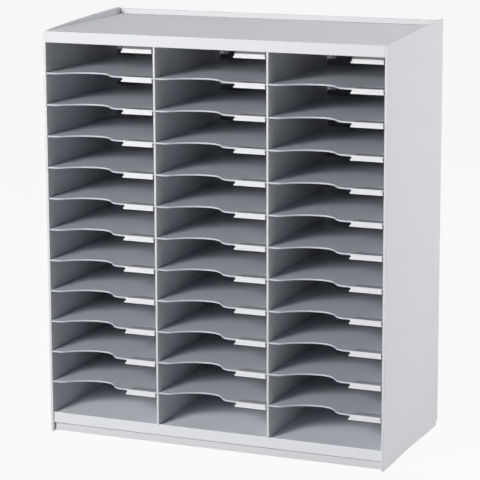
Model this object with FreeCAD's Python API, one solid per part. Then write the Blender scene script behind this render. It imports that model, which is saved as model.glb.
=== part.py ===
import FreeCAD, Part
import os

# Pigeonhole mail sorter for A4 sheets: three columns of twelve pigeonholes.
# Millimetres. The front faces -Y, the right-hand side is +X and the origin lies
# on the floor under the middle of the unit.
# The 33 shelves slide out towards -Y in grooves in the side panels and dividers.

# Pigeonholes
columns = 3
rows = 12
hole_width = 218.5  # clear width between two walls
hole_pitch = 59.3  # height from one shelf top to the next
bottom_hole_extra = 4.9  # the lowest pigeonhole is taller by this much

# Side panels and dividers
side_thickness = 5.0
side_depth = 320.0
side_rise = 16.0  # rear top corner above the front top corner
side_crown = 1.8  # bulge of the top edge above the straight line
side_edge_radius = 1.0
foot_length = 45.0
foot_arch = 2.0  # bottom edge lifts this much between the feet
skirting_notch_depth = 9.0
skirting_notch_height = 8.0
divider_thickness = 4.3
divider_setback = 0.5

# Grooves in the walls, and how far a panel or shelf reaches into one
groove_depth = 1.3
groove_engagement = 1.0
groove_clearance = 0.3  # above, below, in front of and behind what slides in

# Top panel
top_fascia_height = 21.2
top_plate_thickness = 3.0
top_slope_rise = 4.0  # the top surface climbs this much to the rear rim
rim_height = 9.8
rear_skin = 3.0  # thickness of the rear rim and of the rear strips
rear_skirt_drop = 15.0  # rear skirt of the top panel, below its top surface
fascia_thickness = 3.0
fascia_edge_radius = 1.0
divider_rib_height = 8.0
divider_rib_thickness = 2.0
end_flange_height = 12.0
end_flange_thickness = 3.0

# Base panel and plinths
plinth_height = 17.0  # from the floor to the underside of the base fascia
plinth_lift = 1.0  # the plinths hang this far above the floor
plinth_thickness = 3.0
plinth_setback = 8.0
base_fascia_height = 20.8
base_setback = 3.0
base_lip_height = 1.5  # the fascia's top edge above the floor plate
base_plate_thickness = 3.0
tab_length = 40.0  # divider tabs that drop into slots in the floor plate
tab_inset = 30.0
tab_drop = 2.5

# Back panels, with a light gap at the corners of each pigeonhole
back_thickness = 3.0
back_air_gap = 9.0  # between a back panel and the rear strips
light_gap_width = 16.0
light_gap_margin = 11.0  # shelf top to light gap, and light gap to next shelf
strip_flange_width = 16.5
strip_leg_depth = 7.0
strip_leg_thickness = 2.0

# Shelves
shelf_thickness = 3.2
shelf_setback = 1.0
shelf_rear_clearance = 0.5
scoop_centre = 92.3  # deepest point of the finger scoop, from the left wall
scoop_depth = 32.0
scoop_left_radius = 95.0
scoop_right_radius = 36.0
scoop_lead_in_radius = 15.0
scoop_run_out_radius = 26.0

# Label holders and cards
holder_width = 59.0
holder_height = 9.4
holder_wall = 1.2
holder_side_gap = 1.8  # holder to the right-hand wall
holder_lip_reach = 4.0  # lip front, forward of the shelf's front edge
holder_lip_height = 3.0
holder_lip_wall = 1.4
holder_lip_extra = 1.4  # lip longer than the holder at each end
holder_floor = 1.0
tongue_length = 22.0  # tongue that lies in a recess in the shelf's top face
tongue_thickness = 0.6
tongue_slant = 9.0  # its left side runs inwards by this much
recess_depth = 1.0
card_thickness = 0.4
card_clearance = 0.2
top_holder_gap = 2.6  # below the top fascia
top_holder_riser = 12.0
top_holder_wall = 1.5

# Screws through the end flanges into the side panels
screw_diameter = 3.2
screw_head_diameter = 6.4
screw_head_height = 2.0
screw_bite = 3.6
screw_inset = 35.0
hole_clearance = 0.2

# Gap left between pieces that are fitted together
fit = 0.2

# Derived places
wall_pitch = hole_width + divider_thickness
inner_width = columns * hole_width + (columns - 1) * divider_thickness
inner_left = -inner_width / 2
holder_overhang = holder_lip_reach - shelf_setback
front = -(side_depth + holder_overhang) / 2 + holder_overhang
rear = front + side_depth
shelf_front = front + shelf_setback
back_rear = rear - rear_skin - back_air_gap
back_front = back_rear - back_thickness
shelf_rear = back_front - shelf_rear_clearance
wall_rear = rear - rear_skin - fit

base_top = plinth_height + base_fascia_height
floor_top = base_top - base_lip_height
floor_bottom = floor_top - base_plate_thickness
mouth_top = floor_top + bottom_hole_extra + rows * hole_pitch - shelf_thickness
top_front = mouth_top + top_fascia_height
side_top = top_front + side_rise
rim_front = rear - rear_skin
tray_slope = top_slope_rise / (rim_front - front)
strip_top = top_front + top_slope_rise - rear_skirt_drop - fit

column_names = ["left", "middle", "right"]


def vector(x, y, z):
    return FreeCAD.Vector(x, y, z)


def box(x0, x1, y0, y1, z0, z1):
    return Part.makeBox(x1 - x0, y1 - y0, z1 - z0, vector(x0, y0, z0))


def extruded_profile(points, x0, x1):
    # a solid with an outline of (y, z) points, from x0 to x1
    corners = [vector(x0, y, z) for y, z in points]
    outline = Part.makePolygon(corners + corners[:1])
    return Part.Face(outline).extrude(vector(x1 - x0, 0, 0))


def extruded_plan(points, z0, z1):
    # a solid with an outline of (x, y) points, from z0 to z1
    corners = [vector(x, y, z0) for x, y in points]
    outline = Part.makePolygon(corners + corners[:1])
    return Part.Face(outline).extrude(vector(0, 0, z1 - z0))


def line(a, b):
    return Part.LineSegment(a, b).toShape()


def arc_about(centre, a, b):
    # the short arc from a to b round centre
    radius = (a - centre).Length
    bisector = (a - centre) + (b - centre)
    bisector.normalize()
    return Part.Arc(a, centre + bisector * radius, b).toShape()


def column_left(column):
    # x of the wall face on the left of a column
    return inner_left + column * wall_pitch


def level(row):
    # top face of the shelf that carries a row; row 0 is the floor plate
    extra = bottom_hole_extra if row else 0
    return floor_top + extra + row * hole_pitch


def tray_top(y):
    return top_front + (y - front) * tray_slope


def tray_underside(y):
    return tray_top(y) - top_plate_thickness


def spaced(first, last, count):
    return [first + (last - first) * i / (count - 1) for i in range(count)]


# Walls


def shelf_grooves(face_x, inward):
    # grooves cut into a wall from its face at face_x; inward points into the wall
    x0, x1 = sorted([face_x, face_x + inward * groove_depth])
    grooves = []
    for row in range(1, rows):
        bottom = level(row) - shelf_thickness - groove_clearance
        top = level(row) + groove_clearance
        grooves.append(box(x0, x1, front - 1, back_front, bottom, top))
    grooves.append(
        box(
            x0,
            x1,
            back_front - groove_clearance,
            back_rear + groove_clearance,
            floor_top,
            side_top + 1,
        )
    )
    return grooves


def plinth_places():
    # front faces of the two plinths
    return [front + plinth_setback, rear - skirting_notch_depth - 2 * plinth_thickness]


def screw_depths():
    first = front + fascia_thickness + screw_inset
    last = back_front - screw_inset
    return spaced(first, last, 3)


def screw_heights(y):
    top_height = tray_underside(y) - end_flange_height / 2
    return [floor_bottom - end_flange_height / 2, top_height]


def side_outline(x):
    foot_rear = rear - skirting_notch_depth
    middle = (front + rear) / 2
    arch_front = vector(x, front + foot_length, 0)
    arch_rear = vector(x, foot_rear - foot_length, 0)
    arch_middle = vector(x, (arch_front.y + arch_rear.y) / 2, foot_arch)
    top_middle = vector(x, middle, (top_front + side_top) / 2 + side_crown)
    front_bottom = vector(x, front, 0)
    front_top = vector(x, front, top_front)
    rear_top = vector(x, rear, side_top)
    notch = [
        vector(x, foot_rear, 0),
        vector(x, foot_rear, skirting_notch_height),
        vector(x, rear, skirting_notch_height),
    ]
    return Part.Wire(
        [
            line(front_bottom, arch_front),
            Part.Arc(arch_front, arch_middle, arch_rear).toShape(),
            line(arch_rear, notch[0]),
            line(notch[0], notch[1]),
            line(notch[1], notch[2]),
            line(notch[2], rear_top),
            Part.Arc(rear_top, top_middle, front_top).toShape(),
            line(front_top, front_bottom),
        ]
    )


def side_panel(side):
    # side is -1 for the left panel and 1 for the right one
    inner = side * inner_width / 2
    outer = inner + side * side_thickness
    plate = Part.Face(side_outline(inner)).extrude(vector(outer - inner, 0, 0))
    rims = [
        edge
        for edge in plate.Edges
        if all(abs(v.X - outer) < 0.01 for v in edge.Vertexes)
    ]
    plate = plate.makeFillet(side_edge_radius, rims)
    cuts = shelf_grooves(inner, side)
    x0, x1 = sorted([inner, inner + side * groove_depth])
    for y in plinth_places():
        cuts.append(
            box(
                x0,
                x1,
                y - groove_clearance,
                y + plinth_thickness + groove_clearance,
                -1,
                floor_bottom,
            )
        )
    for y in screw_depths():
        for z in screw_heights(y):
            radius = (screw_diameter + hole_clearance) / 2
            depth = screw_bite + fit
            start = vector(inner, y, z)
            cuts.append(Part.makeCylinder(radius, depth, start, vector(side, 0, 0)))
    return plate.cut(cuts)


def tab_places():
    first = front + base_setback + fascia_thickness + tab_inset
    last = back_front - tab_inset - tab_length
    return spaced(first, last, 3)


def divider(wall):
    # wall 0 stands between the left and middle columns
    x0 = column_left(wall + 1) - divider_thickness
    x1 = column_left(wall + 1)
    front_edge = front + divider_setback
    behind_fascia = front + fascia_thickness + fit
    behind_lip = front + base_setback + fascia_thickness + fit
    outline = [
        (front_edge, base_top + fit),
        (front_edge, mouth_top - fit),
        (behind_fascia, mouth_top - fit),
        (behind_fascia, tray_underside(behind_fascia) - fit),
        (wall_rear, tray_underside(wall_rear) - fit),
        (wall_rear, floor_top + fit),
        (behind_lip, floor_top + fit),
        (behind_lip, base_top + fit),
    ]
    plate = extruded_profile(outline, x0, x1)
    tabs = [
        box(x0, x1, y, y + tab_length, floor_top - tab_drop, floor_top + fit)
        for y in tab_places()
    ]
    grooves = shelf_grooves(x0, 1) + shelf_grooves(x1, -1)
    return plate.fuse(tabs).removeSplitter().cut(grooves)


# Top and base


def end_flange(side, top_at, bottom_at, y0, y1):
    # vertical flange against a side panel, with its three screw holes
    outer = side * (inner_width / 2 - fit)
    inner = outer - side * end_flange_thickness
    outline = [
        (y0, bottom_at(y0)),
        (y1, bottom_at(y1)),
        (y1, top_at(y1)),
        (y0, top_at(y0)),
    ]
    return extruded_profile(outline, *sorted([inner, outer]))


def flange_holes(side, height_index):
    radius = (screw_diameter + 2 * hole_clearance) / 2
    outer = side * inner_width / 2
    length = end_flange_thickness + 2 * fit
    holes = []
    for y in screw_depths():
        start = vector(outer, y, screw_heights(y)[height_index])
        holes.append(Part.makeCylinder(radius, length, start, vector(-side, 0, 0)))
    return holes


def top_panel():
    half = inner_width / 2 - fit
    behind_fascia = front + fascia_thickness
    skirt_bottom = strip_top + fit
    outline = [
        (front, mouth_top),
        (front, top_front),
        (rim_front, tray_top(rim_front)),
        (rim_front, tray_top(rim_front) + rim_height),
        (rear, tray_top(rim_front) + rim_height),
        (rear, skirt_bottom),
        (rim_front, skirt_bottom),
        (rim_front, tray_underside(rim_front)),
        (behind_fascia, tray_underside(behind_fascia)),
        (behind_fascia, mouth_top),
    ]
    tray = extruded_profile(outline, -half, half)
    corners = [
        edge
        for edge in tray.Edges
        if all(
            abs(v.Y - front) < 0.01 and abs(v.X) <= half + 0.01 for v in edge.Vertexes
        )
        and edge.Length > hole_width
    ]
    tray = tray.makeFillet(fascia_edge_radius, corners)
    ribs_front = behind_fascia + top_holder_wall + 2 * fit
    ribs_rear = back_front - groove_clearance - fit
    pieces = []
    for side in (-1, 1):
        pieces.append(
            end_flange(
                side,
                tray_underside,
                lambda y: tray_underside(y) - end_flange_height,
                ribs_front,
                ribs_rear,
            )
        )
    for wall in range(columns - 1):
        x_right = column_left(wall + 1) + fit
        x_left = column_left(wall + 1) - divider_thickness - fit
        for x0 in (x_left - divider_rib_thickness, x_right):
            outline = [
                (ribs_front, tray_underside(ribs_front) - divider_rib_height),
                (ribs_rear, tray_underside(ribs_rear) - divider_rib_height),
                (ribs_rear, tray_underside(ribs_rear)),
                (ribs_front, tray_underside(ribs_front)),
            ]
            pieces.append(extruded_profile(outline, x0, x0 + divider_rib_thickness))
    panel = tray.fuse(pieces).removeSplitter()
    return panel.cut(flange_holes(-1, 1) + flange_holes(1, 1))


def base_panel():
    half = inner_width / 2 - fit
    fascia_front = front + base_setback
    behind_fascia = fascia_front + fascia_thickness
    outline = [
        (fascia_front, plinth_height),
        (fascia_front, base_top),
        (behind_fascia, base_top),
        (behind_fascia, floor_top),
        (rear, floor_top),
        (rear, plinth_height),
        (rim_front, plinth_height),
        (rim_front, floor_bottom),
        (behind_fascia, floor_bottom),
        (behind_fascia, plinth_height),
    ]
    tray = extruded_profile(outline, -half, half)
    corners = [
        edge
        for edge in tray.Edges
        if all(abs(v.Y - fascia_front) < 0.01 for v in edge.Vertexes)
        and edge.Length > hole_width
    ]
    tray = tray.makeFillet(fascia_edge_radius, corners)
    front_plinth, rear_plinth = plinth_places()
    flange_front = front_plinth + plinth_thickness + groove_clearance + fit
    flange_rear = rear_plinth - groove_clearance - fit
    flanges = [
        end_flange(
            side,
            lambda y: floor_bottom,
            lambda y: floor_bottom - end_flange_height,
            flange_front,
            flange_rear,
        )
        for side in (-1, 1)
    ]
    slots = []
    for wall in range(columns - 1):
        x1 = column_left(wall + 1) + fit
        x0 = column_left(wall + 1) - divider_thickness - fit
        for y in tab_places():
            slots.append(
                box(x0, x1, y - fit, y + tab_length + fit, floor_bottom, floor_top)
            )
    panel = tray.fuse(flanges).removeSplitter()
    return panel.cut(slots + flange_holes(-1, 0) + flange_holes(1, 0))


def plinth(front_face):
    half = inner_width / 2 + groove_engagement
    return box(
        -half,
        half,
        front_face,
        front_face + plinth_thickness,
        plinth_lift,
        floor_bottom - fit,
    )


# Back


def back_panel(column):
    left_wall = column_left(column)
    right_wall = left_wall + hole_width
    x0 = left_wall - groove_engagement
    x1 = right_wall + groove_engagement
    top = tray_underside(back_front) - fit
    panel = box(x0, x1, back_front, back_rear, floor_top + fit, top)
    gaps = []
    for row in range(rows):
        bottom = level(row) + light_gap_margin
        gap_top = level(row + 1) - shelf_thickness - light_gap_margin
        for a, b in ((x0, left_wall + light_gap_width), (right_wall - light_gap_width, x1)):
            gaps.append(box(a, b, back_front, back_rear, bottom, gap_top))
    return panel.cut(gaps)


def rear_strip(left_reach, right_reach, wall_left, wall_right):
    # a band over the rear edge of a wall, with a leg beside each face that it covers
    legs = []
    leg_front = rim_front - strip_leg_depth
    if left_reach:
        x1 = wall_left - fit
        x0 = x1 - strip_leg_thickness
        legs.append(box(x0, x1, leg_front, rim_front, floor_top + fit, strip_top))
    if right_reach:
        x0 = wall_right + fit
        x1 = x0 + strip_leg_thickness
        legs.append(box(x0, x1, leg_front, rim_front, floor_top + fit, strip_top))
    band_left = wall_left - left_reach if left_reach else wall_right + fit
    band_right = wall_right + right_reach if right_reach else wall_left - fit
    band = box(band_left, band_right, rim_front, rear, floor_top + fit, strip_top)
    return band.fuse(legs).removeSplitter()


def rear_strips():
    width = strip_flange_width
    half = inner_width / 2
    strips = {
        "rear_strip_left": rear_strip(0, width, -half - side_thickness, -half),
        "rear_strip_right": rear_strip(width, 0, half, half + side_thickness),
    }
    for wall, name in enumerate(("middle_left", "middle_right")):
        x1 = column_left(wall + 1)
        x0 = x1 - divider_thickness
        strips["rear_strip_" + name] = rear_strip(width, width, x0, x1)
    return strips


# Shelves and label holders


def shelf_outline(left_wall, z):
    # plan of a shelf: grooved edges left and right, scoop in the front edge
    def at(x, depth):
        return vector(left_wall + x, shelf_front + depth, z)

    left_sum = scoop_left_radius + scoop_lead_in_radius
    right_sum = scoop_right_radius + scoop_run_out_radius
    lead_in = (left_sum**2 - (left_sum - scoop_depth) ** 2) ** 0.5
    run_out = (right_sum**2 - (right_sum - scoop_depth) ** 2) ** 0.5
    lead_centre = at(scoop_centre - lead_in, scoop_lead_in_radius)
    run_centre = at(scoop_centre + run_out, scoop_run_out_radius)
    left_centre = at(scoop_centre, scoop_depth - scoop_left_radius)
    right_centre = at(scoop_centre, scoop_depth - scoop_right_radius)
    lead_touch = left_centre + (lead_centre - left_centre) * (
        scoop_left_radius / left_sum
    )
    run_touch = right_centre + (run_centre - right_centre) * (
        scoop_right_radius / right_sum
    )
    lead_start = at(scoop_centre - lead_in, 0)
    run_end = at(scoop_centre + run_out, 0)
    deepest = at(scoop_centre, scoop_depth)
    front_left = at(-groove_engagement, 0)
    front_right = at(hole_width + groove_engagement, 0)
    rear_right = at(hole_width + groove_engagement, shelf_rear - shelf_front)
    rear_left = at(-groove_engagement, shelf_rear - shelf_front)
    return Part.Wire(
        [
            line(front_left, lead_start),
            arc_about(lead_centre, lead_start, lead_touch),
            arc_about(left_centre, lead_touch, deepest),
            arc_about(right_centre, deepest, run_touch),
            arc_about(run_centre, run_touch, run_end),
            line(run_end, front_right),
            line(front_right, rear_right),
            line(rear_right, rear_left),
            line(rear_left, front_left),
        ]
    )


def tongue_plan(x0, x1, grow):
    # plan of the holder's tongue, or of its recess when grown by a clearance
    back = shelf_front + tongue_length + grow
    return [
        (x0 - grow, shelf_front - grow),
        (x1 + grow, shelf_front - grow),
        (x1 + grow, back),
        (x0 + tongue_slant - grow, back),
    ]


def holder_span(column):
    x1 = column_left(column) + hole_width - holder_side_gap
    return x1 - holder_width, x1


def shelf_plate(column, z):
    outline = shelf_outline(column_left(column), z - shelf_thickness)
    plate = Part.Face(outline).extrude(vector(0, 0, shelf_thickness))
    x0, x1 = holder_span(column)
    recess = extruded_plan(tongue_plan(x0, x1, fit), z - recess_depth, z)
    return plate.cut(recess)


def holder_channel(x0, x1, top):
    # wall behind the card, and the lip that it stands in
    face = shelf_front - holder_wall
    lip_front = shelf_front - holder_lip_reach
    bottom = top - holder_height
    wall = box(x0, x1, face, shelf_front, bottom, top)
    ledge = box(x0, x1, lip_front, shelf_front, bottom, bottom + holder_floor)
    lip = box(
        x0 - holder_lip_extra,
        x1 + holder_lip_extra,
        lip_front,
        lip_front + holder_lip_wall,
        bottom,
        bottom + holder_lip_height,
    )
    return wall.fuse([ledge, lip])


def label_card(x0, x1, top):
    rear_face = shelf_front - holder_wall - card_clearance
    return box(
        x0 + card_clearance,
        x1 - card_clearance,
        rear_face - card_thickness,
        rear_face,
        top - holder_height + holder_floor,
        top - card_clearance,
    )


def shelf_holder(column, z):
    x0, x1 = holder_span(column)
    top = z - fit
    tongue = extruded_plan(
        tongue_plan(x0, x1, 0), top - tongue_thickness, top
    )
    return holder_channel(x0, x1, top).fuse(tongue).removeSplitter()


def shelf(column, row):
    z = level(row)
    x0, x1 = holder_span(column)
    return Part.makeCompound(
        [shelf_plate(column, z), shelf_holder(column, z), label_card(x0, x1, z - fit)]
    )


def top_label_holder(column):
    # hangs under the top fascia from a riser behind it
    x0, x1 = holder_span(column)
    top = mouth_top - top_holder_gap
    riser_front = front + fascia_thickness + fit
    riser_rear = riser_front + top_holder_wall
    web = box(x0, x1, shelf_front, riser_rear, top - top_holder_wall, top)
    riser = box(
        x0, x1, riser_front, riser_rear, top - top_holder_wall, top + top_holder_riser
    )
    holder = holder_channel(x0, x1, top).fuse([web, riser]).removeSplitter()
    return Part.makeCompound([holder, label_card(x0, x1, top)])


# Screws


def screw(side, y, z):
    # pan-head screw along x, its head against the inner face of an end flange
    head_face = side * (inner_width / 2 - fit - end_flange_thickness)
    shank_length = end_flange_thickness + fit + screw_bite
    start = vector(head_face, y, z)
    shank = Part.makeCylinder(screw_diameter / 2, shank_length, start, vector(side, 0, 0))
    head = Part.makeCylinder(
        screw_head_diameter / 2, screw_head_height, start, vector(-side, 0, 0)
    )
    return shank.fuse(head).removeSplitter()


def frame_screws():
    screws = []
    for side in (-1, 1):
        for y in screw_depths():
            for z in screw_heights(y):
                screws.append(screw(side, y, z))
    return Part.makeCompound(screws)


def sorter():
    front_plinth, rear_plinth = plinth_places()
    parts = {
        "side_panel_left": side_panel(-1),
        "side_panel_right": side_panel(1),
        "divider_left": divider(0),
        "divider_right": divider(1),
        "top_panel": top_panel(),
        "base_panel": base_panel(),
        "plinth_front": plinth(front_plinth),
        "plinth_rear": plinth(rear_plinth),
        "frame_screws": frame_screws(),
    }
    parts.update(rear_strips())
    for column, name in enumerate(column_names):
        parts["back_panel_" + name] = back_panel(column)
        parts["top_label_holder_" + name] = top_label_holder(column)
        for row in range(1, rows):
            parts[f"shelf_{name}_{row:02d}"] = shelf(column, row)
    return parts


os.makedirs("parts", exist_ok=True)
for name, shape in sorter().items():
    shape.exportStep(f"parts/{name}.step")
    size = shape.BoundBox
    print(f"{name}: {size.XLength:.1f} x {size.YLength:.1f} x {size.ZLength:.1f} mm")
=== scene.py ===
import bpy
import bmesh
import math
from mathutils import Matrix, Vector


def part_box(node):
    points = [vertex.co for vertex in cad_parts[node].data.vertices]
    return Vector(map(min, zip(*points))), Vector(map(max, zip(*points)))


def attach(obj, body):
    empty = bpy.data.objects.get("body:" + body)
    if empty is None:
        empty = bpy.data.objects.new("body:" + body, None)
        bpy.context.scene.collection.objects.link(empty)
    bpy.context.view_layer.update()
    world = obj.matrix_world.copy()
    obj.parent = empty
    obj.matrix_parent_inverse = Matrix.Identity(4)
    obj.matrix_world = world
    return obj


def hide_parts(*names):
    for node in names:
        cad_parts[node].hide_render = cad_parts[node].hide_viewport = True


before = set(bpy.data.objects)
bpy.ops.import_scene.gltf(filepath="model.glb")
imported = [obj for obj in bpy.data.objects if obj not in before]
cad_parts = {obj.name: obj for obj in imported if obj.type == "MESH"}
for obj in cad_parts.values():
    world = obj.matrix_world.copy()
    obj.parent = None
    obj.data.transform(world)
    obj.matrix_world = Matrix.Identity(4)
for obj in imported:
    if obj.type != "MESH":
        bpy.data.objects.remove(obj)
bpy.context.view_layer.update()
mm = 0.001
touching = 0.01 * mm  # points nearer than this count as being at the same place


# Camera

camera = {
    "lens": 158.81,
    "sensor": 36,
    "azimuth": 22.80,  # degrees to the right of the front
    "elevation": 11.17,
    "roll": -0.21,
    "place": (1.5170, -3.6291, 1.1895),
    "rise": -0.0458,
    "farthest": 60,  # metres
}


def placeCamera():
    data = bpy.data.cameras.new("view")
    data.lens = camera["lens"]
    data.sensor_width = camera["sensor"]
    data.shift_y = camera["rise"]
    data.clip_end = camera["farthest"]
    view = bpy.data.objects.new("view", data)
    bpy.context.collection.objects.link(view)
    turn = (
        Matrix.Rotation(math.radians(camera["azimuth"]), 4, "Z")
        @ Matrix.Rotation(math.radians(90 - camera["elevation"]), 4, "X")
        @ Matrix.Rotation(math.radians(camera["roll"]), 4, "Z")
    )
    view.matrix_world = Matrix.Translation(camera["place"]) @ turn
    bpy.context.scene.camera = view


# Node helpers


def addNode(tree, kind, values=None, **settings):
    # values are for input sockets, settings for the node itself
    node = tree.nodes.new(kind)
    for name, value in settings.items():
        setattr(node, name, value)
    for name, value in (values or {}).items():
        node.inputs[name].default_value = value
    return node


def newGroup(name, inputs, outputs):
    tree = bpy.data.node_groups.new(name, "ShaderNodeTree")
    kind = "NodeSocketFloat"
    for socketName, value in inputs.items():
        socket = tree.interface.new_socket(socketName, in_out="INPUT", socket_type=kind)
        socket.default_value = value
    for socketName in outputs:
        tree.interface.new_socket(socketName, in_out="OUTPUT", socket_type=kind)
    return tree, addNode(tree, "NodeGroupInput"), addNode(tree, "NodeGroupOutput")


def useGroup(tree, group, values):
    return addNode(tree, "ShaderNodeGroup", values, node_tree=group)


def newMaterial(name, fixed):
    # fixed holds what is the same all over the surface
    material = bpy.data.materials.new(name)
    material.use_nodes = True
    tree = material.node_tree
    shader = tree.nodes["Principled BSDF"]
    for socket, value in fixed.items():
        shader.inputs[socket].default_value = value
    return material, tree, shader


def calculated(tree, operation, *values, **settings):
    # each value is a number or another node's output
    node = addNode(tree, "ShaderNodeMath", operation=operation, **settings)
    for socket, value in zip(node.inputs, values):
        if isinstance(value, bpy.types.NodeSocket):
            tree.links.new(value, socket)
        else:
            socket.default_value = value
    return node.outputs["Value"]


def blendColours(tree, factor, first, second):
    # first and second are colours or sockets
    # a mix of colours takes them at inputs 6 and 7, and gives its result at output 2
    mix = addNode(tree, "ShaderNodeMix", data_type="RGBA")
    tree.links.new(factor, mix.inputs["Factor"])
    for index, value in ((6, first), (7, second)):
        if isinstance(value, bpy.types.NodeSocket):
            tree.links.new(value, mix.inputs[index])
        else:
            mix.inputs[index].default_value = (*value, 1)
    return mix.outputs[2]


def ranged(tree, value, low, high):
    node = addNode(tree, "ShaderNodeMapRange", {"To Min": low, "To Max": high})
    tree.links.new(value, node.inputs["Value"])
    return node.outputs["Result"]


def bumped(tree, shader, height, depth, strength):
    bump = addNode(tree, "ShaderNodeBump", {"Distance": depth, "Strength": strength})
    tree.links.new(height, bump.inputs["Height"])
    tree.links.new(bump.outputs["Normal"], shader.inputs["Normal"])


def mixedShaders(tree, factor, first, second):
    mix = addNode(tree, "ShaderNodeMixShader")
    tree.links.new(factor, mix.inputs["Fac"])
    tree.links.new(first, mix.inputs[1])
    tree.links.new(second, mix.inputs[2])
    return mix.outputs["Shader"]


# Effects that several materials share

rubSpread = (-0.6, 1.6)  # noise is stretched to this range, so that single lines stand out
upFilmFalloff = 6  # the higher, the sooner the up-facing film of dust and painted light thins out on faces that tilt
fibreLayers = {
    "stretches": ((0.12, 0.5, 1.0), (1.0, 0.5, 0.15)),
    "turn": 0.4,  # radians from one layer to the next
    "strength": 0.5,
}


def mouldGrainGroup():
    # fine texture of a mould, and the slow drift in tone of a large moulding
    scales = {"Grain Scale": 700, "Drift Scale": 5}
    tree, given, out = newGroup("mouldGrain", scales, ["Height", "Drift"])
    place = addNode(tree, "ShaderNodeTexCoord")
    grain = addNode(tree, "ShaderNodeTexNoise", {"Detail": 2, "Roughness": 0.6})
    drift = addNode(tree, "ShaderNodeTexNoise", {"Detail": 3, "Roughness": 0.45})
    for noise, scale in ((grain, "Grain Scale"), (drift, "Drift Scale")):
        tree.links.new(place.outputs["Object"], noise.inputs["Vector"])
        tree.links.new(given.outputs[scale], noise.inputs["Scale"])
    tree.links.new(grain.outputs["Fac"], out.inputs["Height"])
    tree.links.new(drift.outputs["Fac"], out.inputs["Drift"])
    return tree


def slideRubGroup():
    # faint lines along the depth, where paper and shelves slide in and out
    tree, given, out = newGroup("slideRub", {"Lines": 160, "Length": 4}, ["Rub"])
    place = addNode(tree, "ShaderNodeTexCoord")
    stretch = addNode(tree, "ShaderNodeCombineXYZ")
    scaled = addNode(tree, "ShaderNodeVectorMath", operation="MULTIPLY")
    noise = addNode(tree, "ShaderNodeTexNoise", {"Scale": 1, "Detail": 4, "Roughness": 0.7})
    for axis, size in (("X", "Lines"), ("Y", "Length"), ("Z", "Lines")):
        tree.links.new(given.outputs[size], stretch.inputs[axis])
    tree.links.new(place.outputs["Object"], scaled.inputs[0])
    tree.links.new(stretch.outputs["Vector"], scaled.inputs[1])
    tree.links.new(scaled.outputs["Vector"], noise.inputs["Vector"])
    tree.links.new(ranged(tree, noise.outputs["Fac"], *rubSpread), out.inputs["Rub"])
    return tree


def settledDustGroup():
    # a mask in soft patches on faces that look up: thin dust in most finishes, painted bluish
    # light in the base finish
    tree, given, out = newGroup("settledDust", {"Patch Scale": 14}, ["Dust"])
    place = addNode(tree, "ShaderNodeTexCoord")
    surface = addNode(tree, "ShaderNodeNewGeometry")
    split = addNode(tree, "ShaderNodeSeparateXYZ")
    facing = addNode(tree, "ShaderNodeClamp")
    noise = addNode(tree, "ShaderNodeTexNoise", {"Detail": 6, "Roughness": 0.65})
    tree.links.new(surface.outputs["Normal"], split.inputs["Vector"])
    tree.links.new(split.outputs["Z"], facing.inputs["Value"])
    tree.links.new(place.outputs["Object"], noise.inputs["Vector"])
    tree.links.new(given.outputs["Patch Scale"], noise.inputs["Scale"])
    up = calculated(tree, "POWER", facing.outputs["Result"], upFilmFalloff, use_clamp=True)
    upFilm = calculated(tree, "MULTIPLY", up, noise.outputs["Fac"], use_clamp=True)
    tree.links.new(upFilm, out.inputs["Dust"])
    return tree


def fibreGroup():
    # short crossed fibres of paper and board
    tree, given, out = newGroup("fibre", {"Fibre Scale": 900}, ["Fibre"])
    place = addNode(tree, "ShaderNodeTexCoord")
    layers = []
    for index, stretch in enumerate(fibreLayers["stretches"]):
        turn = (0, fibreLayers["turn"] * index, 0)
        squeeze = addNode(tree, "ShaderNodeMapping", {"Scale": stretch, "Rotation": turn})
        noise = addNode(tree, "ShaderNodeTexNoise", {"Detail": 2, "Roughness": 0.5})
        tree.links.new(place.outputs["Object"], squeeze.inputs["Vector"])
        tree.links.new(squeeze.outputs["Vector"], noise.inputs["Vector"])
        tree.links.new(given.outputs["Fibre Scale"], noise.inputs["Scale"])
        layers.append(noise.outputs["Fac"])
    both = calculated(tree, "ADD", *layers)
    tree.links.new(ranged(tree, both, 0, fibreLayers["strength"]), out.inputs["Fibre"])
    return tree


mouldGrain = mouldGrainGroup()
slideRub = slideRubGroup()
settledDust = settledDustGroup()
fibre = fibreGroup()


# Materials
# in each finish, deep and light are the two ends of its tone, film is the dust that lies on
# it (in the base finish, painted bluish light), roughness is a range from low to high, and
# bump is a depth and a strength

dustTone = (0.72, 0.73, 0.75)

bodyFinish = {
    "fixed": {"IOR": 1.52, "Specular IOR Level": 0.42},
    "grain": {"Grain Scale": 620, "Drift Scale": 4.5},
    "upFilm": {"Patch Scale": 11},
    "light": (0.688, 0.697, 0.716),
    "deep": (0.658, 0.668, 0.692),
    "film": dustTone,
    "filmShare": 0.16,
    "roughness": (0.36, 0.50),
    "grainRoughness": 0.12,
    "bump": (0.12 * mm, 0.35),
}
# the body plastic made lighter for the base tray, as painted light, with a film that is
# painted bluish light on its faces that look up
baseFinishPaintedLight = {
    **bodyFinish,
    "light": (0.780, 0.794, 0.816),
    "deep": (0.750, 0.766, 0.790),
    "film": (0.840, 0.905, 0.965),
    "filmShare": 0.9,
}


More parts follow.
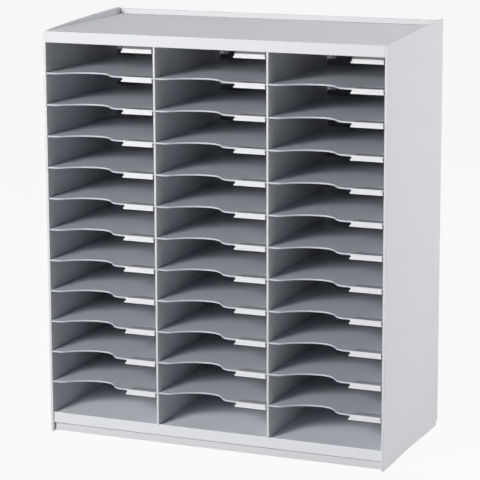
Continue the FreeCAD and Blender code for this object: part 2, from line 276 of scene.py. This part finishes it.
def bodyPlastic(name, finish):
    # satin light grey moulding, with a fine spark-eroded texture and a film on what looks up:
    # thin dust in the body finish, painted bluish light in the base finish
    material, tree, shader = newMaterial(name, finish["fixed"])
    grain = useGroup(tree, mouldGrain, finish["grain"])
    upFilm = useGroup(tree, settledDust, finish["upFilm"])
    height, drift = grain.outputs["Height"], grain.outputs["Drift"]
    tone = blendColours(tree, drift, finish["deep"], finish["light"])
    film = ranged(tree, upFilm.outputs["Dust"], 0, finish["filmShare"])
    tree.links.new(blendColours(tree, film, tone, finish["film"]), shader.inputs["Base Color"])
    smooth = ranged(tree, drift, *finish["roughness"])
    rough = calculated(tree, "MULTIPLY_ADD", height, finish["grainRoughness"], smooth)
    tree.links.new(rough, shader.inputs["Roughness"])
    bumped(tree, shader, height, *finish["bump"])
    return material


# a darker, bluer copy of the body plastic: painted cool shade for the inside of the
# pigeonholes
shelfFinish = {
    "fixed": {"IOR": 1.5, "Specular IOR Level": 0.4},
    "grain": {"Grain Scale": 900, "Drift Scale": 9},
    "rub": {"Lines": 190, "Length": 3},
    "upFilm": {"Patch Scale": 18},
    "light": (0.572, 0.603, 0.644),
    "deep": (0.537, 0.570, 0.614),
    "film": dustTone,
    "filmShare": 0.10,
    "roughness": (0.34, 0.44),
    "rubRoughness": 0.10,
    "bump": (0.08 * mm, 0.3),
}


def shelfPlasticPaintedShade():
    # smoother than the body, with faint rub lines from sliding paper, in a tone darkened and
    # cooled as painted shade
    finish = shelfFinish
    material, tree, shader = newMaterial("shelfPlasticPaintedShade", finish["fixed"])
    grain = useGroup(tree, mouldGrain, finish["grain"])
    rub = useGroup(tree, slideRub, finish["rub"])
    upFilm = useGroup(tree, settledDust, finish["upFilm"])
    drift = grain.outputs["Drift"]
    tone = blendColours(tree, drift, finish["deep"], finish["light"])
    film = ranged(tree, upFilm.outputs["Dust"], 0, finish["filmShare"])
    tree.links.new(blendColours(tree, film, tone, finish["film"]), shader.inputs["Base Color"])
    smooth = ranged(tree, drift, *finish["roughness"])
    share = finish["rubRoughness"]
    rough = calculated(tree, "MULTIPLY_ADD", rub.outputs["Rub"], share, smooth)
    tree.links.new(rough, shader.inputs["Roughness"])
    bumped(tree, shader, grain.outputs["Height"], *finish["bump"])
    return material


boardFinish = {
    "fixed": {"IOR": 1.45, "Specular IOR Level": 0.25},
    "fibre": {"Fibre Scale": 420},
    "grain": {"Grain Scale": 300, "Drift Scale": 12},
    "light": (0.290, 0.300, 0.320),
    "deep": (0.245, 0.255, 0.275),
    "roughness": (0.70, 0.86),
    "bump": (0.2 * mm, 0.3),
}


def backBoard():
    # matt board with short fibres, in a dark grey that is painted shade for the backs of the
    # pigeonholes
    finish = boardFinish
    material, tree, shader = newMaterial("backBoard", finish["fixed"])
    fibres = useGroup(tree, fibre, finish["fibre"]).outputs["Fibre"]
    grain = useGroup(tree, mouldGrain, finish["grain"])
    tone = blendColours(tree, fibres, finish["deep"], finish["light"])
    tree.links.new(tone, shader.inputs["Base Color"])
    rough = ranged(tree, grain.outputs["Drift"], *finish["roughness"])
    tree.links.new(rough, shader.inputs["Roughness"])
    bumped(tree, shader, fibres, *finish["bump"])
    return material


holderFinish = {
    "fixed": {"IOR": 1.49, "Coat Weight": 0.25, "Coat Roughness": 0.12},
    "grain": {"Grain Scale": 1500, "Drift Scale": 40},
    "light": (0.820, 0.826, 0.838),
    "deep": (0.790, 0.798, 0.815),
    "roughness": (0.22, 0.34),
    "bump": (0.03 * mm, 0.25),
}
steelFinish = {
    "fixed": {"Metallic": 1.0},
    "grain": {"Grain Scale": 2200, "Drift Scale": 400},
    "light": (0.66, 0.66, 0.65),
    "deep": (0.47, 0.47, 0.48),
    "roughness": (0.28, 0.46),
    "bump": (0.03 * mm, 0.3),
}


def driftingFinish(name, finish):
    # glossy white channel, or plated steel: tone and gloss drift together
    material, tree, shader = newMaterial(name, finish["fixed"])
    grain = useGroup(tree, mouldGrain, finish["grain"])
    drift = grain.outputs["Drift"]
    tone = blendColours(tree, drift, finish["deep"], finish["light"])
    tree.links.new(tone, shader.inputs["Base Color"])
    tree.links.new(ranged(tree, drift, *finish["roughness"]), shader.inputs["Roughness"])
    bumped(tree, shader, grain.outputs["Height"], *finish["bump"])
    return material


# grey as painted shade of the recess that the tongue lies in
tongueFinishPaintedShade = {
    "fixed": {"IOR": 1.49, "Coat Weight": 0.3, "Coat Roughness": 0.08},
    "grain": {"Grain Scale": 1500, "Drift Scale": 60},
    "upFilm": {"Patch Scale": 90},
    "light": (0.500, 0.525, 0.560),
    "deep": (0.455, 0.480, 0.515),
    "film": dustTone,
    "filmShare": 0.2,
    "roughness": (0.16, 0.34),
    "bump": (0.02 * mm, 0.2),
}
# near black, as the painted shadow that the top fascia casts on it
riserFinishPaintedShadow = {
    **tongueFinishPaintedShade,
    "light": (0.150, 0.156, 0.165),
    "deep": (0.125, 0.131, 0.140),
}


def greyClearPlasticPaintedShade(name, finish):
    # thin clear plastic, greyed with painted shade: the recess under the tongue and the top
    # fascia's shadow over the riser; dust dulls its gloss
    material, tree, shader = newMaterial(name, finish["fixed"])
    grain = useGroup(tree, mouldGrain, finish["grain"])
    upFilm = useGroup(tree, settledDust, finish["upFilm"]).outputs["Dust"]
    tone = blendColours(tree, grain.outputs["Drift"], finish["deep"], finish["light"])
    film = ranged(tree, upFilm, 0, finish["filmShare"])
    tree.links.new(blendColours(tree, film, tone, finish["film"]), shader.inputs["Base Color"])
    tree.links.new(ranged(tree, upFilm, *finish["roughness"]), shader.inputs["Roughness"])
    bumped(tree, shader, grain.outputs["Height"], *finish["bump"])
    return material


cardFinish = {
    "fixed": {"IOR": 1.45, "Specular IOR Level": 0.2},
    "fibre": {"Fibre Scale": 1600},
    "light": (0.795, 0.797, 0.805),
    "deep": (0.760, 0.763, 0.773),
    "roughness": (0.82, 0.92),
    "bump": (0.04 * mm, 0.4),
}


def cardPaper():
    # uncoated white card
    finish = cardFinish
    material, tree, shader = newMaterial("cardPaper", finish["fixed"])
    fibres = useGroup(tree, fibre, finish["fibre"]).outputs["Fibre"]
    tone = blendColours(tree, fibres, finish["deep"], finish["light"])
    tree.links.new(tone, shader.inputs["Base Color"])
    tree.links.new(ranged(tree, fibres, *finish["roughness"]), shader.inputs["Roughness"])
    bumped(tree, shader, fibres, *finish["bump"])
    return material


materials = {
    "body": bodyPlastic("bodyPlastic", bodyFinish),
    "base": bodyPlastic("basePlasticPaintedLight", baseFinishPaintedLight),
    "shelf": shelfPlasticPaintedShade(),
    "board": backBoard(),
    "holder": driftingFinish("holderPlastic", holderFinish),
    "tongue": greyClearPlasticPaintedShade("tonguePlasticPaintedShade", tongueFinishPaintedShade),
    "riser": greyClearPlasticPaintedShade("riserPlasticPaintedShadow", riserFinishPaintedShadow),
    "card": cardPaper(),
    "steel": driftingFinish("zincSteel", steelFinish),
}
print("materials made:", len(materials))


# Pieces

rounding = {
    "sharpFrom": 40,  # degrees between two faces
    "shortest": 5 * mm,  # edges of the carcase below this length stay unrounded
    "lesserShare": 1 / 3,
    "steps": 2,
    "normalWeight": 100,
}


def finishPiece(name, mesh, finish, body, node, radius, steps, shortest=0, full=None):
    # a bmesh becomes a piece with rounded edges, which rides on its body in place of its node
    # full picks the edges with the whole radius; the others then take the lesser share of it
    weights = mesh.edges.layers.float.new("bevel_weight_edge")
    sharpFrom = math.radians(rounding["sharpFrom"])
    for edge in mesh.edges:
        sharp = edge.is_manifold and edge.calc_face_angle() > sharpFrom
        rounded = sharp and edge.calc_length() > shortest
        share = 1 if full is None or full(edge) else rounding["lesserShare"]
        edge[weights] = share * rounded
        edge.smooth = rounded or not sharp
    for face in mesh.faces:
        face.smooth = True
    data = bpy.data.meshes.new(name)
    mesh.to_mesh(data)
    mesh.free()
    data.materials.append(materials[finish])
    piece = bpy.data.objects.new(name, data)
    bpy.context.collection.objects.link(piece)
    bevel = piece.modifiers.new("rounded edges", "BEVEL")
    bevel.width = radius
    bevel.segments = steps
    bevel.limit_method = "WEIGHT"
    bevel.use_clamp_overlap = False
    flat = piece.modifiers.new("flat faces", "WEIGHTED_NORMAL")
    flat.mode = "FACE_AREA"
    flat.weight = rounding["normalWeight"]
    flat.keep_sharp = True
    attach(piece, body)
    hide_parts(node)


carcase = {
    # piece: node, finish, edge radius
    "left_side": ("side_panel_left", "body", 0.45 * mm),
    "right_side": ("side_panel_right", "body", 0.45 * mm),
    "left_divider": ("divider_left", "body", 1.2 * mm),
    "right_divider": ("divider_right", "body", 1.2 * mm),
    "top_tray": ("top_panel", "body", 0.5 * mm),
    "base_tray": ("base_panel", "base", 0.5 * mm),
    "front_plinth": ("plinth_front", "body", 0.4 * mm),
    "rear_plinth": ("plinth_rear", "body", 0.4 * mm),
    "left_rear_strip": ("rear_strip_left", "body", 0.4 * mm),
    "middle_left_rear_strip": ("rear_strip_middle_left", "body", 0.4 * mm),
    "middle_right_rear_strip": ("rear_strip_middle_right", "body", 0.4 * mm),
    "right_rear_strip": ("rear_strip_right", "body", 0.4 * mm),
    "left_back": ("back_panel_left", "board", 0.3 * mm),
    "middle_back": ("back_panel_middle", "board", 0.3 * mm),
    "right_back": ("back_panel_right", "board", 0.3 * mm),
}

merging = {
    "within": 0.005 * mm,
    "flatBelow": 0.5,  # degrees between two faces
    "shortest": 0.02 * mm,
}


def mergedCopy(node):
    # the node's triangles as one closed shell with flat faces
    mesh = bmesh.new()
    mesh.from_mesh(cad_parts[node].data)
    bmesh.ops.remove_doubles(mesh, verts=mesh.verts, dist=merging["within"])
    bmesh.ops.dissolve_limit(
        mesh,
        angle_limit=math.radians(merging["flatBelow"]),
        verts=mesh.verts,
        edges=mesh.edges,
        use_dissolve_boundaries=False,
    )
    bmesh.ops.dissolve_degenerate(mesh, dist=merging["shortest"], edges=mesh.edges)
    return mesh


def frontEdges(node):
    # picks the edges that a divider shows at the mouth of the pigeonholes
    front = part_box(node)[0][1]
    return lambda edge: all(vert.co.y < front + touching for vert in edge.verts)


def makeCarcase():
    steps, shortest = rounding["steps"], rounding["shortest"]
    for name, (node, finish, radius) in carcase.items():
        full = frontEdges(node) if "divider" in node else None
        mesh = mergedCopy(node)
        finishPiece(name, mesh, finish, "carcase", node, radius, steps, shortest, full)
    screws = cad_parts["frame_screws"].data
    screws.materials.clear()
    screws.materials.append(materials["steel"])
    print("carcase dressed:", len(carcase), "panels")


# Shelves and label holders
# a shelf is drawn with its origin at the left wall, the front edge and the top face

shelf = {
    "thickness": 3.2 * mm,
    "depth": 303.5 * mm,
    "width": 218.5 * mm,
    "grooveReach": 1.0 * mm,
    "scoopCentre": 92.3 * mm,
    "scoopDepth": 32.0 * mm,
    "leftRadius": 95.0 * mm,
    "rightRadius": 36.0 * mm,
    "leadIn": 15.0 * mm,
    "runOut": 26.0 * mm,
    "arcSteps": (5, 14, 10, 8),  # of the scoop's four arcs, from the left
    "recessDepth": 1.0 * mm,
    "edgeRadius": 0.7 * mm,
    "edgeSteps": 3,
}

holder = {
    "left": 157.7 * mm,
    "right": 216.7 * mm,
    "height": 9.4 * mm,
    "wall": 1.2 * mm,
    "floor": 1.0 * mm,
    "lipReach": 4.0 * mm,
    "lipWall": 1.4 * mm,
    "lipHeight": 3.0 * mm,
    "lipExtra": 1.4 * mm,  # the lip is longer than the channel by this at each end
    "belowShelfTop": 0.2 * mm,
    "clearance": 0.2 * mm,
    "edgeRadius": 0.25 * mm,
    "edgeSteps": 2,
}

tongue = {
    "length": 22.0 * mm,
    "thickness": 0.6 * mm,
    "slant": 9.0 * mm,  # its left side runs inwards by this much
    "edgeRadius": 0.15 * mm,
    "edgeSteps": 1,
}

riser = {
    "drop": 2.2 * mm,  # gap between the top fascia and the white of a hanging holder
    "front": 2.2 * mm,
    "thickness": 1.5 * mm,
    "height": 12.0 * mm,
    "edgeRadius": 0.15 * mm,
    "edgeSteps": 1,
}

card = {
    "thickness": 0.4 * mm,
    "bow": 0.3 * mm,
    "bowSteps": 12,
    "cornerRadius": 0.8 * mm,
    "cornerSteps": 3,
    "edgeRadius": 0.1 * mm,
    "edgeSteps": 1,
}


def runTo(mesh, start, x, y):
    end = bmesh.ops.extrude_vert_indiv(mesh, verts=[start])["verts"][0]
    end.co.x, end.co.y = x, y
    return end


def arcAbout(mesh, start, centre, turn, steps):
    made = bmesh.ops.spin(
        mesh, geom=[start], cent=centre, axis=(0, 0, 1), angle=turn, steps=steps
    )
    return next(item for item in made["geom_last"] if isinstance(item, bmesh.types.BMVert))


def raised(mesh, faces, by):
    # extrudes faces by a vector and returns the new ones; a lone sheet is thickened by it
    # a dictionary holds each edge once, in a fixed order
    edges = dict.fromkeys(edge for face in faces for edge in face.edges)
    made = bmesh.ops.extrude_face_region(mesh, geom=faces + list(edges))["geom"]
    verts = [item for item in made if isinstance(item, bmesh.types.BMVert)]
    bmesh.ops.translate(mesh, verts=verts, vec=by)
    return [item for item in made if isinstance(item, bmesh.types.BMFace)]


def thickened(corners, by):
    # a closed solid from one flat face
    mesh = bmesh.new()
    mesh.faces.new([mesh.verts.new(corner) for corner in corners])
    raised(mesh, mesh.faces[:], by)
    bmesh.ops.recalc_face_normals(mesh, faces=mesh.faces)
    return mesh


def shelfPlate():
    # the plan is drawn at the underside, with the recess of the tongue split off its face
    mesh = bmesh.new()
    low = -shelf["thickness"]
    middle, depth = shelf["scoopCentre"], shelf["scoopDepth"]
    leftSum = shelf["leftRadius"] + shelf["leadIn"]
    rightSum = shelf["rightRadius"] + shelf["runOut"]
    leftTurn = math.acos(1 - depth / leftSum)
    rightTurn = math.acos(1 - depth / rightSum)
    scoopLeft = middle - leftSum * math.sin(leftTurn)
    scoopRight = middle + rightSum * math.sin(rightTurn)
    arcs = (
        (scoopLeft, shelf["leadIn"], leftTurn),
        (middle, depth - shelf["leftRadius"], -leftTurn),
        (middle, depth - shelf["rightRadius"], -rightTurn),
        (scoopRight, shelf["runOut"], rightTurn),
    )
    gap = holder["clearance"]
    sideLeft = -shelf["grooveReach"]
    sideRight = shelf["width"] + shelf["grooveReach"]
    first = mesh.verts.new((sideLeft, 0, low))
    spot = runTo(mesh, first, scoopLeft, 0)
    for (x, y, turn), steps in zip(arcs, shelf["arcSteps"]):
        spot = arcAbout(mesh, spot, (x, y, low), turn, steps)
    recessLeft = runTo(mesh, spot, holder["left"] - gap, 0)
    recessRight = runTo(mesh, recessLeft, holder["right"] + gap, 0)
    spot = runTo(mesh, recessRight, sideRight, 0)
    spot = runTo(mesh, spot, sideRight, shelf["depth"])
    spot = runTo(mesh, spot, sideLeft, shelf["depth"])
    mesh.edges.new((spot, first))
    outline = bmesh.ops.contextual_create(mesh, geom=mesh.edges[:])["faces"][0]
    back = tongue["length"] + gap
    corners = [
        (holder["left"] + tongue["slant"] - gap, back, low),
        (holder["right"] + gap, back, low),
    ]
    bmesh.utils.face_split(outline, recessLeft, recessRight, coords=corners)
    lower = shelf["thickness"] - shelf["recessDepth"]
    tops = raised(mesh, mesh.faces[:], (0, 0, lower))
    plateTop = max(tops, key=lambda face: face.calc_area())
    raised(mesh, [plateTop], (0, 0, shelf["recessDepth"]))
    bmesh.ops.recalc_face_normals(mesh, faces=mesh.faces)
    return mesh


def channelProfile(mesh, top, bottom):
    # section of a holder, with the lip split from the wall and the floor
    lipFront = -holder["lipReach"]
    lipBack = lipFront + holder["lipWall"]
    lipTop = bottom + holder["lipHeight"]
    ledge = bottom + holder["floor"]
    wallAndFloor = [
        (0, bottom),
        (0, top),
        (-holder["wall"], top),
        (-holder["wall"], ledge),
    ]
    lip = [
        (lipBack, ledge),
        (lipBack, lipTop),
        (lipFront, lipTop),
        (lipFront, bottom),
        (lipBack, bottom),
    ]
    verts = [mesh.verts.new((holder["left"], y, z)) for y, z in wallAndFloor + lip]
    section = mesh.faces.new(verts)
    bmesh.utils.face_split(section, verts[-len(lip)], verts[-1])


def longLip(mesh):
    # the lip runs on past both ends of the channel
    for end, way in ((holder["left"], -1), (holder["right"], 1)):
        caps = [
            face
            for face in mesh.faces
            if all(abs(vert.co.x - end) < touching for vert in face.verts)
        ]
        lip = min(caps, key=lambda face: face.calc_center_median().y)
        raised(mesh, [lip], (way * holder["lipExtra"], 0, 0))


def whiteChannel(top, bottom):
    mesh = bmesh.new()
    channelProfile(mesh, top, bottom)
    raised(mesh, mesh.faces[:], (holder["right"] - holder["left"], 0, 0))
    longLip(mesh)
    bmesh.ops.recalc_face_normals(mesh, faces=mesh.faces)
    return mesh


def holderTongue():
    # clear tongue of the holder, in the recess of the shelf, grey with painted shade
    low = -holder["belowShelfTop"] - tongue["thickness"]
    plan = [
        (holder["left"], 0, low),
        (holder["right"], 0, low),
        (holder["right"], tongue["length"], low),
        (holder["left"] + tongue["slant"], tongue["length"], low),
    ]
    return thickened(plan, (0, 0, tongue["thickness"]))


def holderRiser():
    # clear part that goes up behind the top fascia from the back of the white channel, dark
    # with the fascia's painted shadow
    front = riser["front"]
    rear = front + riser["thickness"]
    ledge = -riser["drop"]
    under = ledge - riser["thickness"]
    section = [
        (0, under),
        (rear, under),
        (rear, riser["height"]),
        (front, riser["height"]),
        (front, ledge),
        (0, ledge),
    ]
    corners = [(holder["left"], y, z) for y, z in section]
    return thickened(corners, (holder["right"] - holder["left"], 0, 0))


def labelCard(top, bottom):
    # a card that stands in the channel, bowed a little towards the front
    mesh = bmesh.new()
    gap = holder["clearance"]
    rear = -holder["wall"] - gap
    left, right = holder["left"] + gap, holder["right"] - gap
    low, high = bottom + holder["floor"], top - gap
    middle, half = (left + right) / 2, (right - left) / 2
    upright = Matrix.Rotation(math.pi / 2, 3, "X")
    bmesh.ops.create_grid(mesh, x_segments=card["bowSteps"], y_segments=1, size=0.5)
    bmesh.ops.rotate(mesh, verts=mesh.verts, cent=(0, 0, 0), matrix=upright)
    bmesh.ops.scale(mesh, verts=mesh.verts, vec=(right - left, 1, high - low))
    bmesh.ops.translate(mesh, verts=mesh.verts, vec=(middle, rear, (low + high) / 2))
    topCorners = [
        vert
        for vert in mesh.verts
        if vert.co.z > high - touching and abs(vert.co.x - middle) > half - touching
    ]
    bmesh.ops.bevel(
        mesh,
        geom=topCorners,
        offset=card["cornerRadius"],
        segments=card["cornerSteps"],
        profile=0.5,
        affect="VERTICES",
        material=-1,
    )
    raised(mesh, mesh.faces[:], (0, -card["thickness"], 0))
    for vert in mesh.verts:
        across = (vert.co.x - middle) / half
        vert.co.y -= card["bow"] * (1 - across * across)
    bmesh.ops.recalc_face_normals(mesh, faces=mesh.faces)
    return mesh


def dressNode(node, body, corner, place, kinds):
    # kinds: what the piece is called, its mesh at the origin, its finish and its sizes
    for kind, template, finish, sizes in kinds:
        mesh = template.copy()
        bmesh.ops.translate(mesh, verts=mesh.verts, vec=corner)
        name = kind + "_" + place
        finishPiece(name, mesh, finish, body, node, sizes["edgeRadius"], sizes["edgeSteps"])


def makeShelves():
    top = -holder["belowShelfTop"]
    bottom = top - holder["height"]
    kinds = (
        ("tray", shelfPlate(), "shelf", shelf),
        ("holder", whiteChannel(top, bottom), "holder", holder),
        ("tongue", holderTongue(), "tongue", tongue),
        ("card", labelCard(top, bottom), "card", card),
    )
    prefix = "shelf_"
    nodes = sorted(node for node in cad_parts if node.startswith(prefix))
    for node in nodes:
        low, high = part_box(node)
        corner = (low[0] + shelf["grooveReach"], low[1] + holder["lipReach"], high[2])
        dressNode(node, node, corner, node[len(prefix):], kinds)
    print("shelves made:", len(nodes))


def makeTopHolders():
    # these hang from the top fascia, so they have no tongue
    top, bottom = -riser["drop"], -holder["height"]
    kinds = (
        ("top_holder", whiteChannel(top, bottom), "holder", holder),
        ("top_riser", holderRiser(), "riser", riser),
        ("top_card", labelCard(top, bottom), "card", card),
    )
    prefix = "top_label_holder_"
    nodes = sorted(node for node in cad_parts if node.startswith(prefix))
    for node in nodes:
        low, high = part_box(node)
        corner = (
            low[0] + holder["lipExtra"] - holder["left"],
            low[1] + holder["lipReach"],
            high[2] - riser["height"],
        )
        dressNode(node, "carcase", corner, node[len(prefix):], kinds)
    print("top holders made:", len(nodes))


placeCamera()
makeCarcase()
makeShelves()
makeTopHolders()


# Floor, surround and lamps

stage = {
    "floorReach": 12.0,  # from the middle to each side
    "floorColour": (0.52, 0.52, 0.52),
    "floorRoughness": 0.9,
    "floorGlow": 0.93,  # share of plain white that the camera sees in the floor
    "backdrop": (0.97, 0.97, 0.97),
    "surround": 0.02,
    "surroundTint": (0.92, 0.98, 1.08),
    "lampAim": (0, 0, 0.4),
}

lamps = {
    # name: azimuth, elevation, distance, width, share of light on a face turned to it, tint
    "frontLeft": (-18, 20, 3.6, 1.0, 0.88, (1, 1, 1)),
    "right": (102, 9, 2.6, 2.2, 0.79, (1, 1, 1)),
    "rearTop": (172, 48, 3.2, 1.6, 0.31, (0.95, 0.98, 1.07)),
}


def seenRays(tree):
    # 1 for what the camera, a reflection or clear plastic shows
    rays = addNode(tree, "ShaderNodeLightPath").outputs
    seen = calculated(tree, "MAXIMUM", rays["Is Camera Ray"], rays["Is Glossy Ray"])
    return calculated(tree, "MAXIMUM", seen, rays["Is Transmission Ray"])


def floorWhite():
    # matt, so that it takes the object's shadow, and mixed with plain white where it is seen
    fixed = {
        "Base Color": (*stage["floorColour"], 1),
        "Roughness": stage["floorRoughness"],
        "Specular IOR Level": 0.0,
    }
    material, tree, shader = newMaterial("floorWhite", fixed)
    glow = addNode(tree, "ShaderNodeEmission", {"Color": (1, 1, 1, 1), "Strength": 1})
    share = calculated(tree, "MULTIPLY", seenRays(tree), stage["floorGlow"])
    seen = mixedShaders(tree, share, shader.outputs["BSDF"], glow.outputs["Emission"])
    tree.links.new(seen, tree.nodes["Material Output"].inputs["Surface"])
    return material


def makeFloor():
    mesh = bmesh.new()
    bmesh.ops.create_grid(mesh, x_segments=1, y_segments=1, size=stage["floorReach"])
    data = bpy.data.meshes.new("floor")
    mesh.to_mesh(data)
    mesh.free()
    data.materials.append(floorWhite())
    floor = bpy.data.objects.new("floor", data)
    bpy.context.collection.objects.link(floor)


def makeSurround():
    world = bpy.data.worlds.new("surround")
    bpy.context.scene.world = world
    world.use_nodes = True
    tree = world.node_tree
    lit = tree.nodes["Background"]
    lit.inputs["Color"].default_value = (*stage["surroundTint"], 1)
    lit.inputs["Strength"].default_value = stage["surround"]
    backdrop = {"Color": (*stage["backdrop"], 1), "Strength": 1}
    white = addNode(tree, "ShaderNodeBackground", backdrop)
    both = (lit.outputs["Background"], white.outputs["Background"])
    seen = mixedShaders(tree, seenRays(tree), *both)
    tree.links.new(seen, tree.nodes["World Output"].inputs["Surface"])


def makeLamps():
    aim = Vector(stage["lampAim"])
    for name, (azimuth, elevation, distance, width, share, tint) in lamps.items():
        a, e = math.radians(azimuth), math.radians(elevation)
        back = Vector((math.sin(a) * math.cos(e), -math.cos(a) * math.cos(e), math.sin(e)))
        data = bpy.data.lights.new(name, "AREA")
        data.shape = "SQUARE"
        data.size = width
        data.color = tint
        data.energy = share * math.pi**2 * distance**2
        lamp = bpy.data.objects.new(name, data)
        bpy.context.collection.objects.link(lamp)
        lamp.location = aim + back * distance
        lamp.rotation_mode = "QUATERNION"
        lamp.rotation_quaternion = back.to_track_quat("Z", "Y")
        lamp.visible_camera = False


makeFloor()
makeSurround()
makeLamps()
bpy.context.scene.view_settings.view_transform = "Standard"
print("stage and lamps made")
